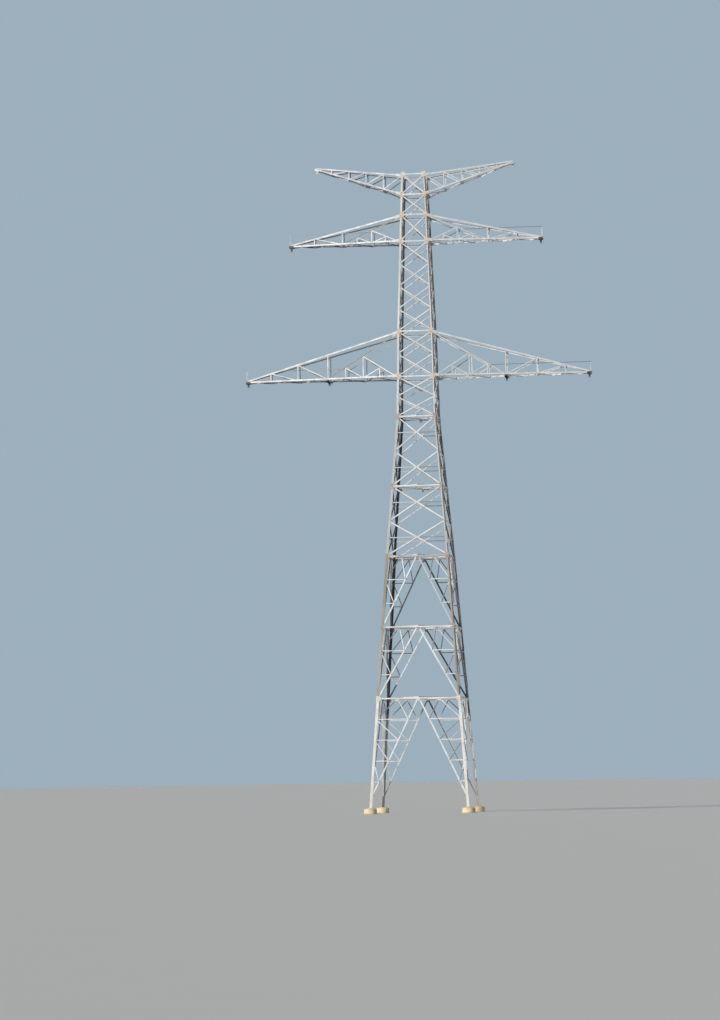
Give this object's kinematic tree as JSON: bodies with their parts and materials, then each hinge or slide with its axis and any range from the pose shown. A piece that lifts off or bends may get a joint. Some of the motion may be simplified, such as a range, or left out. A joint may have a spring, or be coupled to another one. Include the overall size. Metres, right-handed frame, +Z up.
{
  "type": "lattice transmission pylon, 1:10 scale model",
  "caption": "Self-supporting steel lattice pylon with a square tapering body on round concrete caps, two levels of conductor arms and a V-shaped pair of earth wire arms.",
  "frame": {"origin": "centre of the tower at ground level, under the four footings", "axes": "+Z up, +X along the arms to the right as seen in the picture, -Y towards the viewer"},
  "size_m": [3.2144, 1.0098, 5.9976],
  "materials": {
    "galvanised_legs": "weathered galvanised, matt",
    "galvanised_bracing": "weathered galvanised, matt",
    "galvanised_belts": "weathered galvanised, matt",
    "galvanised_arms": "weathered galvanised, matt",
    "galvanised_rails": "galvanised, matt",
    "plates": "weathered, tan tinged",
    "concrete": "cast concrete, matt"
  },
  "bodies": {
    "root": {"front_left_footing": "concrete", "front_right_footing": "concrete", "back_left_footing": "concrete", "back_right_footing": "concrete", "front_left_leg": "galvanised_legs", "front_right_leg": "galvanised_legs", "back_left_leg": "galvanised_legs", "back_right_leg": "galvanised_legs", "leg_splices": "plates", "front_lower_bracing": "galvanised_bracing", "right_lower_bracing": "galvanised_bracing", "back_lower_bracing": "galvanised_bracing", "left_lower_bracing": "galvanised_bracing", "front_middle_bracing": "galvanised_bracing", "right_middle_bracing": "galvanised_bracing", "back_middle_bracing": "galvanised_bracing", "left_middle_bracing": "galvanised_bracing", "front_upper_bracing": "galvanised_bracing", "right_upper_bracing": "galvanised_bracing", "back_upper_bracing": "galvanised_bracing", "left_upper_bracing": "galvanised_bracing", "front_gussets": "plates", "right_gussets": "plates", "back_gussets": "plates", "left_gussets": "plates", "lower_belts": "galvanised_belts", "waist_belt": "galvanised_belts", "upper_belts": "galvanised_belts", "arm_belts": "galvanised_belts", "plan_bracing": "galvanised_belts", "lower_right_arm_floor": "galvanised_arms", "lower_left_arm_floor": "galvanised_arms", "upper_right_arm_floor": "galvanised_arms", "upper_left_arm_floor": "galvanised_arms", "peak_right_arm_floor": "galvanised_arms", "peak_left_arm_floor": "galvanised_arms", "lower_right_arm_sides": "galvanised_arms", "lower_left_arm_sides": "galvanised_arms", "upper_right_arm_sides": "galvanised_arms", "upper_left_arm_sides": "galvanised_arms", "peak_right_arm_sides": "galvanised_arms", "peak_left_arm_sides": "galvanised_arms", "conductor_hangers": "plates", "earth_wire_hangers": "plates", "handrails": "galvanised_rails"}
  },
  "joints": []
}
